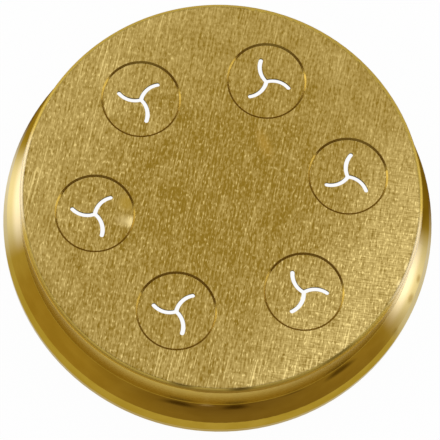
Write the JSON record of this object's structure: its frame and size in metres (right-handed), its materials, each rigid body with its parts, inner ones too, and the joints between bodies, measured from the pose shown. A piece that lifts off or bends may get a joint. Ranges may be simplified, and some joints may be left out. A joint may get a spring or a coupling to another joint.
{
  "type": "pasta extrusion die",
  "caption": "Round brass pasta die: a flanged body with pressed-in inserts, each cut with a swirl-shaped slit that forms dough as an extruder pushes it through.",
  "frame": {"origin": "middle of the flange's underside, on the die's axis", "axes": "+Z along the axis, out of the exit face; the inserts stand as the picture shows them with -Y towards the viewer"},
  "size_m": [0.078, 0.078, 0.0184],
  "materials": {
    "body_brass": "turned and polished rim, straight-grain linished exit face",
    "insert_brass": "straight-grain linished nose, turned inside"
  },
  "bodies": {
    "root": {"die_body": "body_brass", "insert_1": "insert_brass", "insert_2": "insert_brass", "insert_3": "insert_brass", "insert_4": "insert_brass", "insert_5": "insert_brass", "insert_6": "insert_brass"}
  },
  "joints": []
}
